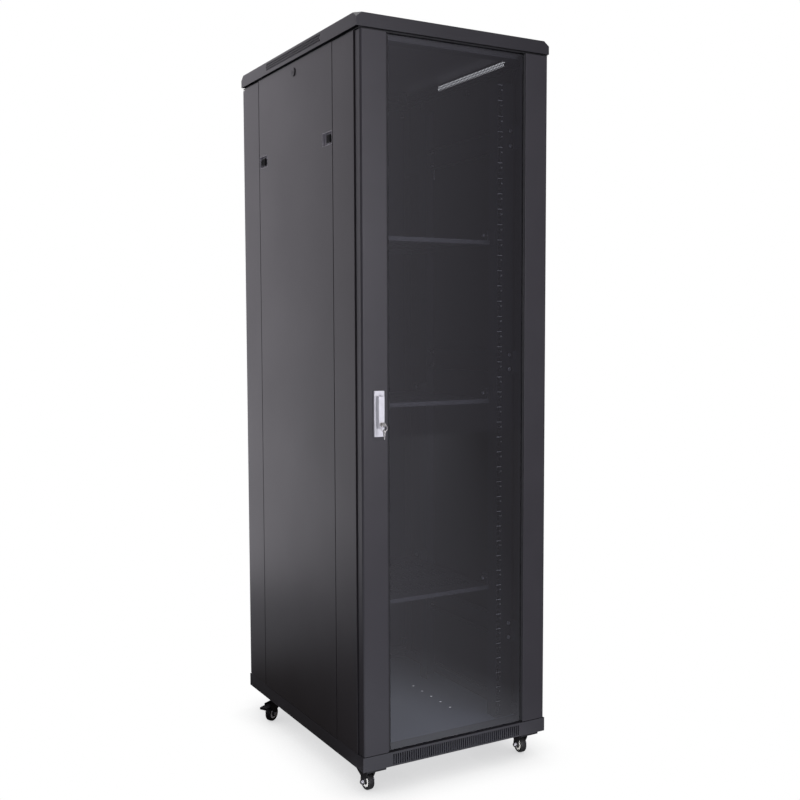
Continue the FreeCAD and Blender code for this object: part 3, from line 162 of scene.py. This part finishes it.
def powder_coat(name, colour, grain=900.0, bump=0.10, roughness=0.38):
    """Textured powder coat: fine orange-peel grain, faint blotches, slightly uneven gloss."""
    s = Shader(name)
    lighter = tuple(c * 1.15 + 0.002 for c in colour)
    blotch = s.ramp(s.noise(5.0, 4.0), 0.35, 0.7, 0.0, 1.0)
    fine = s.noise(grain, 2.0, 0.6)
    speck = s.ramp(fine, 0.55, 0.75, 0.0, 0.35)
    tone = s.blend_colours(speck, s.blend_colours(blotch, colour, lighter), lighter)
    smear = s.ramp(s.noise(3.0, 3.0), 0.3, 0.75, roughness - 0.015, roughness + 0.025)
    peel = s.bump(fine, bump, 0.0004)
    wave = s.bump(s.noise(60.0, 1.0), 0.03, 0.002, peel)
    return s.surface(tone, smear, wave, Specular_IOR_Level=0.5)


def bright_steel(name, colour, roughness, squeeze=(1.0, 1.0, 1.0)):
    """Plated or polished steel with a fine lay and slightly uneven gloss."""
    s = Shader(name)
    lay = s.noise(900.0, 3.0, 0.6, squeeze)
    cloud = s.noise(45.0, 4.0)
    darker = tuple(c * 0.78 for c in colour)
    tone = s.blend_colours(s.ramp(cloud, 0.35, 0.7, 0.0, 1.0), colour, darker)
    gloss = s.ramp(lay, 0.3, 0.7, roughness - 0.06, roughness + 0.1)
    return s.surface(tone, gloss, s.bump(lay, 0.08, 0.0002), Metallic=1.0)


def silver_paint(name, colour):
    """Pale metallic lacquer: fine flake, soft gloss, slightly uneven."""
    s = Shader(name)
    darker = tuple(c * 0.88 for c in colour)
    tone = s.blend_colours(s.ramp(s.noise(60.0, 4.0), 0.35, 0.7, 0.0, 1.0), colour, darker)
    flake = s.noise(2600.0, 2.0, 0.6)
    gloss = s.ramp(flake, 0.3, 0.7, 0.30, 0.40)
    return s.surface(tone, gloss, s.bump(flake, 0.05, 0.0002), Metallic=0.35)


def moulded(name, colour, roughness, grain=1400.0, bump=0.12):
    """Moulded plastic or rubber with a fine spark-eroded grain."""
    s = Shader(name)
    lighter = tuple(min(c * 1.35 + 0.004, 0.92) for c in colour)
    tone = s.blend_colours(s.ramp(s.noise(40.0, 4.0), 0.35, 0.7, 0.0, 1.0), colour, lighter)
    fine = s.noise(grain, 2.0, 0.6)
    gloss = s.ramp(s.noise(90.0, 3.0), 0.3, 0.7, roughness - 0.06, roughness + 0.08)
    return s.surface(tone, gloss, s.bump(fine, bump, 0.0003))


def smoked_glass(name, through):
    """Smoked glass. Light goes straight through, tinted, and front faces mirror by Fresnel."""
    s = Shader(name)
    clear = s.add("ShaderNodeBsdfTransparent")
    clear.inputs["Color"].default_value = (*through, 1)
    mirror = s.add("ShaderNodeBsdfAnisotropic")
    mirror.inputs["Color"].default_value = (1, 1, 1, 1)
    s.link(s.ramp(s.noise(7.0, 5.0), 0.3, 0.7, 0.01, 0.04), mirror.inputs["Roughness"])
    fresnel = s.add("ShaderNodeFresnel")
    fresnel.inputs["IOR"].default_value = 1.8
    back = s.add("ShaderNodeNewGeometry").outputs["Backfacing"]
    front_only = s.multiply(fresnel.outputs[0], s.ramp(back, 0.0, 1.0, 1.0, 0.0))
    return s.finish_mixed(front_only, clear.outputs[0], mirror.outputs[0])


def stage_material(name):
    """White paper with a contact shade to the camera. Reflections see other tones."""
    s = Shader(name)
    # Painted contact shade: the white glow falls to grey where ambient occlusion finds the cabinet close
    # by.
    shade = s.add("ShaderNodeAmbientOcclusion", samples=8)
    shade.inputs["Distance"].default_value = 0.14
    open_floor = s.ramp(shade.outputs["AO"], 0.0, 0.9, 0.0, 1.0)
    paper_with_painted_shade = s.glow(s.blend_colours(open_floor, (0.50, 0.50, 0.51), (1.0, 1.0, 1.0)))
    # Painted reflections: other rays see glow. It is near black close behind the cabinet and grey further
    # back. Ahead it is mid grey that darkens to the right, with a bright pale blue patch in front of the
    # door.
    axes = s.add("ShaderNodeSeparateXYZ")
    s.link(s.coordinates, axes.inputs[0])
    across = axes.outputs["X"]
    along = axes.outputs["Y"]
    past_shade = s.ramp(along, 0.65, 1.15, 0.0, 1.0)
    behind = s.blend_colours(past_shade, (0.035, 0.030, 0.027), (0.34, 0.34, 0.37))
    slant = s.add("ShaderNodeMath", operation="MULTIPLY_ADD")
    s.link(along, slant.inputs[0])
    slant.inputs[1].default_value = 0.65
    s.link(across, slant.inputs[2])
    to_the_right = s.ramp(slant.outputs[0], -0.6, 0.1, 0.0, 1.0)
    far_ahead = s.blend_colours(to_the_right, (0.48, 0.47, 0.54), (0.24, 0.23, 0.26))
    patch = s.multiply(s.ramp(across, 0.15, 0.58, 1.0, 0.0), s.ramp(along, -1.0, -1.6, 1.0, 0.0))
    ahead = s.blend_colours(patch, far_ahead, (0.84, 0.86, 0.97))
    painted_bounce_glow = s.glow(s.blend_colours(s.ramp(along, -0.3, -0.6, 0.0, 1.0), behind, ahead))
    seen = s.add("ShaderNodeLightPath").outputs["Is Camera Ray"]
    return s.finish_mixed(seen, painted_bounce_glow, paper_with_painted_shade)


def wall_material(name):
    """A wall only reflections see: bright straight ahead of the door, darker to its right."""
    s = Shader(name)
    axes = s.add("ShaderNodeSeparateXYZ")
    s.link(s.coordinates, axes.inputs[0])
    to_the_right = s.ramp(axes.outputs["X"], 2.7, 4.4, 0.0, 1.0)
    tone = s.blend_colours(to_the_right, (0.50, 0.485, 0.56), (0.21, 0.20, 0.235))
    s.link(s.glow(tone), s.output.inputs["Surface"])
    return s.material


def print_material(name, colour):
    """Screen-printed ink with slightly uneven cover."""
    s = Shader(name)
    worn = tuple(c * 0.75 for c in colour)
    tone = s.blend_colours(s.ramp(s.noise(900.0, 3.0), 0.45, 0.75, 0.0, 1.0), colour, worn)
    return s.surface(tone, 0.6)


M = {
    "panel": powder_coat("panel_powder_coat", (0.032, 0.029, 0.031)),
    "door": powder_coat("door_powder_coat", (0.033, 0.031, 0.035)),
    "roof": powder_coat("roof_powder_coat", (0.023, 0.022, 0.025)),
    "base": powder_coat("base_powder_coat", (0.040, 0.039, 0.043)),
    "inner": powder_coat("inner_powder_coat", (0.030, 0.030, 0.033), 1100.0, 0.06, 0.42),
    # Painted reflection: the interior floor panel's coat is a pale bluish grey, which paints in the studio
    # light that the panel reflects.
    "floor": powder_coat("floor_coat_painted_reflection", (0.215, 0.235, 0.290), 900.0, 0.06, 0.34),
    "rail": powder_coat("rail_powder_coat", (0.036, 0.036, 0.040), 1100.0, 0.06, 0.38),
    # Partly painted shade: the casters' own black coat, made darker still so that the caster brackets
    # under the base read as black shade.
    "caster": powder_coat("caster_black_coat_and_painted_shade", (0.007, 0.007, 0.008), 1500.0, 0.05, 0.45),
    "zinc": bright_steel("zinc_plate", (0.72, 0.72, 0.74), 0.30),
    "silver": silver_paint("silver_lacquer", (0.86, 0.86, 0.87)),
    "nickel": bright_steel("nickel_plate", (0.74, 0.72, 0.68), 0.25, (1.0, 1.0, 4.0)),
    "tab": moulded("latch_tab_nylon", (0.004, 0.004, 0.004), 0.60),
    # Painted light: the latch housings match the dark panel coat, but get a pale grey so that they still
    # read as panel-coloured while shaded in their recesses.
    "housing": moulded("latch_housing_painted_light", (0.28, 0.27, 0.285), 0.42),
    "lock": moulded("black_lock_nylon", (0.010, 0.010, 0.011), 0.40),
    # Painted shade: the top frame and corner plates get the black coat darkened further, so the front beam
    # seen through the glass stays dark.
    "frame": powder_coat("top_frame_coat_painted_shade", (0.012, 0.012, 0.013), 1100.0, 0.06, 0.45),
    "rubber": moulded("seal_rubber", (0.008, 0.008, 0.009), 0.62, 1800.0, 0.10),
    "wheel": moulded("wheel_rubber", (0.007, 0.007, 0.007), 0.55, 1200.0, 0.10),
    "cream": moulded("wheel_hub_ring", (0.80, 0.78, 0.72), 0.42, 900.0, 0.06),
    "glass": smoked_glass("smoked_glass", (0.84, 0.85, 0.88)),
    "print": print_material("white_print", (0.90, 0.90, 0.88)),
}


# ---------------------------------------------------------------- mesh helpers

def add_object(name, data):
    piece = bpy.data.objects.new(name, data)
    bpy.context.scene.collection.objects.link(piece)
    return piece


def settle(piece, material, body):
    """Give a finished piece its material and its body."""
    piece.data.materials.clear()
    piece.data.materials.append(M[material])
    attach(piece, body)


def shade_by_angle(mesh, degrees=32.0):
    """Smooth shading that stays sharp at edges over the given angle."""
    mesh.shade_smooth()
    working = bmesh.new()
    working.from_mesh(mesh)
    limit = math.radians(degrees)
    for edge in working.edges:
        edge.smooth = len(edge.link_faces) == 2 and edge.calc_face_angle(0) < limit
    working.to_mesh(mesh)
    working.free()


def apply_modifiers(piece):
    graph = bpy.context.evaluated_depsgraph_get()
    finished = bpy.data.meshes.new_from_object(piece.evaluated_get(graph))
    piece.modifiers.clear()
    piece.data = finished


def softened(node, material, body, width, segments=2):
    """A copy of a CAD node with its sharp edges rounded, which stands for the node."""
    mesh = nodes[node].data.copy()
    mesh.materials.clear()
    working = bmesh.new()
    working.from_mesh(mesh)
    bmesh.ops.remove_doubles(working, verts=working.verts, dist=1e-6)
    flat = math.radians(0.5)
    bmesh.ops.dissolve_limit(working, angle_limit=flat, verts=working.verts, edges=working.edges)
    working.to_mesh(mesh)
    working.free()
    piece = add_object(f"{node}_shell", mesh)
    bevel = piece.modifiers.new("rounded_edges", "BEVEL")
    bevel.width = width
    bevel.segments = segments
    bevel.limit_method = "ANGLE"
    bevel.angle_limit = math.radians(35)
    bevel.use_clamp_overlap = True
    bevel.harden_normals = False
    apply_modifiers(piece)
    shade_by_angle(piece.data, 40.0)
    even = piece.modifiers.new("flat_faces_stay_flat", "WEIGHTED_NORMAL")
    even.keep_sharp = True
    apply_modifiers(piece)
    settle(piece, material, body)
    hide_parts(node)


def lathe(name, profile, centre, axis, steps=72):
    """A solid of revolution about axis. Profile points are (along, radius) in metres."""
    working = bmesh.new()
    axis = Vector(axis).normalized()
    turn = axis.to_track_quat("X", "Z").to_matrix().to_4x4()
    place = Matrix.Translation(centre) @ turn
    rings = []
    for step in range(steps):
        angle = 2 * math.pi * step / steps
        ring = []
        for along, radius in profile:
            point = Vector((along, radius * math.cos(angle), radius * math.sin(angle)))
            ring.append(working.verts.new(place @ point))
        rings.append(ring)
    for step in range(steps):
        here = rings[step]
        following = rings[(step + 1) % steps]
        for index in range(len(profile)):
            after = (index + 1) % len(profile)
            working.faces.new((here[index], here[after], following[after], following[index]))
    bmesh.ops.recalc_face_normals(working, faces=working.faces)
    mesh = bpy.data.meshes.new(name)
    working.to_mesh(mesh)
    working.free()
    shade_by_angle(mesh)
    return add_object(name, mesh)


def joint(name):
    return next(item for item in frame["joints"] if item["name"] == name)


# ---------------------------------------------------------------- CAD nodes: materials

def paint(node, material):
    """Put a material on a CAD node's own slots."""
    mesh = nodes[node].data
    if not mesh.materials:
        mesh.materials.append(M[material])
    for index in range(len(mesh.materials)):
        mesh.materials[index] = M[material]


FINISH = {
    "roof": ("roof_cover",),
    "base": ("base_frame",),
    "frame": ("top_frame", "corner_plates"),
    "floor": ("floor_panel",),
    "inner": ("_shelf",),
    "rail": ("depth_braces", "shelf_brackets", "_rail"),
    "caster": ("caster_brackets", "_fork", "_pedal"),
    "zinc": ("m6_screws", "_hinge_pins", "handle_spindle", "latch_cam", "_axle"),
    "silver": ("handle_plate", "handle_lever"),
    "nickel": ("lock_barrel", "door_key", "key_ring", "spare_key"),
    "rubber": ("glass_seals",),
    "glass": ("door_glass",),
    "lock": ("rear_lock", "_panel_lock"),
    "door": ("rear_door", "door_left_stile", "door_right_stile"),
    "panel": ("_post", "_side_panel"),
    "housing": ("_latch_housings",),
    "tab": ("_latch",),
    "wheel": ("_wheel",),
}


def paint_nodes():
    """Paint every CAD node whose name ends as FINISH says."""
    for material, endings in FINISH.items():
        for name in nodes:
            if name.endswith(endings):
                paint(name, material)


# ---------------------------------------------------------------- rack unit marks

UNIT = 44.45 * MM
UNITS = 42


def text_mesh(words, height):
    """The outline of some figures as a flat mesh, height tall, centred on its origin."""
    curve = bpy.data.curves.new("figures", "FONT")
    curve.body = words
    size_over_height = 1.35
    curve.size = height * size_over_height
    curve.align_x = "CENTER"
    curve.align_y = "CENTER"
    holder = bpy.data.objects.new("figures", curve)
    bpy.context.scene.collection.objects.link(holder)
    graph = bpy.context.evaluated_depsgraph_get()
    mesh = bpy.data.meshes.new_from_object(holder.evaluated_get(graph))
    bpy.data.objects.remove(holder)
    bpy.data.curves.remove(curve)
    return mesh


def make_unit_marks():
    """A printed line at the top of each rack unit that the rail reaches, its number below it."""
    first_unit_bottom = 87.1 * MM
    lift = 0.12 * MM
    half_opening = 225 * MM
    margin = 0.8 * MM
    half_line = 0.8 * MM
    line_reach = 17 * MM
    figure_height = 5.0 * MM
    figure_reach = 14.5 * MM
    figure_drop = 14.4 * MM
    facing = Matrix.Rotation(math.radians(90), 4, "X")
    for side_name, side in SIDES:
        low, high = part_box(f"front_{side_name}_rail")
        face = low.y - lift
        edge = side * half_opening
        line_start = edge + side * margin
        line_end = edge + side * line_reach
        working = bmesh.new()
        for unit in range(1, UNITS + 1):
            top = first_unit_bottom + unit * UNIT
            if top + MM > high.z:
                continue
            corners = ((line_start, top - half_line), (line_end, top - half_line),
                       (line_end, top + half_line), (line_start, top + half_line))
            ring = [working.verts.new((x, face, z)) for x, z in corners]
            working.faces.new(ring)
            figures = text_mesh(str(unit), figure_height)
            figures.transform(facing)
            place = (edge + side * figure_reach, face, top - figure_drop)
            figures.transform(Matrix.Translation(place))
            working.from_mesh(figures)
            bpy.data.meshes.remove(figures)
        mesh = bpy.data.meshes.new(f"rail_marks_{side_name}")
        bmesh.ops.recalc_face_normals(working, faces=working.faces)
        working.to_mesh(mesh)
        working.free()
        marks = add_object(f"rail_marks_{side_name}", mesh)
        thick = marks.modifiers.new("ink", "SOLIDIFY")
        thick.thickness = 0.1 * MM
        apply_modifiers(marks)
        settle(marks, "print", "cabinet")


# ---------------------------------------------------------------- caster wheels

def make_wheels():
    """Turned wheels with a crowned tread, a dished hub and a pale ring on each face."""
    half = 9.5 * MM
    tread = 24 * MM
    near_half = [
        (-half - 1.0 * MM, 4.3 * MM), (-half - 1.0 * MM, 7.6 * MM), (-half + 1.6 * MM, 8.2 * MM),
        (-half + 2.4 * MM, 9.4 * MM), (-half + 2.4 * MM, 16.0 * MM), (-half + 0.6 * MM, 17.2 * MM),
        (-half, 18.4 * MM), (-half + 0.2 * MM, 20.6 * MM), (-half + 1.0 * MM, 22.2 * MM),
        (-half + 2.6 * MM, 23.4 * MM), (-half + 5.0 * MM, tread - 0.1 * MM),
    ]
    profile = near_half + [(-along, radius) for along, radius in reversed(near_half)]
    ring = [
        (-half + 2.3 * MM, 9.8 * MM), (-half + 1.1 * MM, 10.2 * MM), (-half + 0.7 * MM, 12.0 * MM),
        (-half + 0.9 * MM, 14.6 * MM), (-half + 1.7 * MM, 15.8 * MM), (-half + 2.5 * MM, 15.9 * MM),
    ]
    for corner in CORNERS:
        roll = joint(f"{corner}_roll")
        centre = Vector(roll["pos_m"])
        body = f"{corner}_wheel"
        tyre = lathe(f"{corner}_tyre", profile, centre, roll["axis"])
        settle(tyre, "wheel", body)
        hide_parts(f"{corner}_caster_wheel")
        for face, sign in (("outer", 1), ("inner", -1)):
            axis = Vector(roll["axis"]) * sign
            disc = lathe(f"{corner}_{face}_hub_ring", ring, centre, axis)
            settle(disc, "cream", body)


# ---------------------------------------------------------------- shells with rounded edges

def make_shells():
    softened("roof_cover", "roof", "cabinet", 0.7 * MM, 3)
    softened("base_frame", "base", "cabinet", 0.6 * MM)
    for side_name, _ in SIDES:
        body = f"{side_name}_side_panel"
        softened(body, "panel", body, 0.6 * MM)
        for end_name in ("front", "rear"):
            softened(f"{end_name}_{side_name}_post", "panel", "cabinet", 0.8 * MM, 3)
            latch = f"{side_name}_{end_name}_latch"
            softened(latch, "tab", latch, 0.35 * MM)
        # The latch housings take the pale grey that paints light into their shaded recesses.
        softened(f"{side_name}_latch_housings", "housing", body, 0.3 * MM)
        lock = f"{side_name}_panel_lock"
        softened(lock, "lock", lock, 0.5 * MM)
    softened("rear_door", "door", "rear_door", 0.6 * MM)
    softened("handle_plate", "silver", "front_door", 1.0 * MM, 3)
    softened("handle_lever", "silver", "lever", 1.6 * MM, 4)
    for node, body in (("door_key", "lock"), ("spare_key", "key_bunch")):
        softened(node, "nickel", body, 0.3 * MM)
    softened("lock_barrel", "nickel", "lock", 0.4 * MM)
    for corner in CORNERS:
        softened(f"{corner}_caster_fork", "caster", f"{corner}_caster", 0.6 * MM)
        softened(f"{corner}_caster_axle", "zinc", f"{corner}_caster", 0.4 * MM)
    for corner in REAR_CORNERS:
        softened(f"{corner}_brake_pedal", "caster", f"{corner}_brake", 0.8 * MM, 3)
    # The caster brackets under the base take the caster coat, darkened as painted shade.
    softened("caster_brackets", "caster", "cabinet", 1.0 * MM)


# ---------------------------------------------------------------- stage, light and camera

def flat_sheet(name, corners, material):
    """One four-cornered face."""
    mesh = bpy.data.meshes.new(name)
    mesh.from_pydata(corners, [], [(0, 1, 2, 3)])
    mesh.materials.append(material)
    return add_object(name, mesh)


def make_stage():
    reach = 30.0
    floor_corners = [(-reach, -reach, 0), (reach, -reach, 0), (reach, reach, 0), (-reach, reach, 0)]
    floor = flat_sheet("studio_floor", floor_corners, stage_material("studio_floor"))
    wall_y = -6.0
    foot, top = 0.3, 5.0
    left, right = -2.0, 7.0
    wall_corners = [(left, wall_y, foot), (left, wall_y, top), (right, wall_y, top), (right, wall_y, foot)]
    wall = flat_sheet("studio_wall", wall_corners, wall_material("studio_wall"))
    wall.visible_camera = False


def hang_lamp(lamp, place, target):
    """Put a lamp at place, aimed at target, and return its object."""
    holder = add_object(lamp.name, lamp)
    holder.location = place
    aim = Vector(target) - Vector(place)
    holder.rotation_euler = aim.to_track_quat("-Z", "Y").to_euler()
    return holder


def spot_light(name, place, target, watts, cone):
    """A narrow lamp for one small part, cone degrees wide."""
    lamp = bpy.data.lights.new(name, "SPOT")
    lamp.energy = watts
    lamp.spot_size = math.radians(cone)
    lamp.spot_blend = 0.4
    lamp.shadow_soft_size = 0.04
    hang_lamp(lamp, place, target)


def softbox(name, place, target, size, watts, colour=(1, 1, 1)):
    """A rectangular lamp that the camera doesn't see. Its size is width and height in metres."""
    lamp = bpy.data.lights.new(name, "AREA")
    lamp.shape = "RECTANGLE"
    lamp.size, lamp.size_y = size
    lamp.energy = watts
    lamp.color = colour
    hang_lamp(lamp, place, target).visible_camera = False


def make_world():
    """White for the camera, and a dim, faintly violet room for everything else."""
    world = bpy.data.worlds.new("studio")
    bpy.context.scene.world = world
    world.use_nodes = True
    tree = world.node_tree
    tree.nodes.clear()
    mix = tree.nodes.new("ShaderNodeMixShader")
    seen = tree.nodes.new("ShaderNodeLightPath").outputs["Is Camera Ray"]
    tree.links.new(seen, mix.inputs[0])
    for index, colour, strength in ((1, (1.02, 0.98, 1.12, 1), 0.21), (2, (1, 1, 1, 1), 1.0)):
        background = tree.nodes.new("ShaderNodeBackground")
        background.inputs["Color"].default_value = colour
        background.inputs["Strength"].default_value = strength
        tree.links.new(background.outputs[0], mix.inputs[index])
    output = tree.nodes.new("ShaderNodeOutputWorld")
    tree.links.new(mix.outputs[0], output.inputs["Surface"])


def make_lights():
    make_world()
    faint_pink = (1.0, 0.96, 1.03)
    faint_violet = (0.99, 0.97, 1.05)
    softbox("left_back_softbox", (-0.86, 1.75, 1.6), (-0.3, 0.25, 1.55), (1.0, 3.1), 9.2, faint_pink)
    softbox("front_softbox", (0.75, -4.2, 1.6), (0, -0.4, 1.1), (1.4, 2.8), 47, faint_violet)
    spot_light("left_wheel_spot", (-1.30, -1.20, 0.10), (-0.27, -0.34, 0.024), 60, 4.4)
    spot_light("right_wheel_spot", (-0.95, -1.75, 0.10), (0.25, -0.34, 0.024), 110, 3.2)
    softbox("top_softbox", (-0.6, -0.4, 4.6), (0, 0, 1.5), (2.4, 2.4), 50)


def make_camera():
    camera = bpy.data.cameras.new("camera")
    camera.lens = 47.0
    camera.sensor_width = 36.0
    camera.shift_x = 0.0196
    camera.shift_y = 0.0042
    holder = add_object("camera", camera)
    holder.location = (-1.558, -2.784, 1.251)
    yaw, pitch, roll = (math.radians(angle) for angle in (29.09, -4.06, -0.24))
    aim = Euler((math.radians(90) + pitch, 0, -yaw), "XYZ").to_matrix()
    holder.rotation_euler = (aim @ Matrix.Rotation(roll, 3, "Z")).to_euler()
    bpy.context.scene.camera = holder


make_camera()
make_lights()
make_stage()
paint_nodes()
make_shells()
make_unit_marks()
make_wheels()
bpy.context.scene.view_settings.view_transform = "Standard"
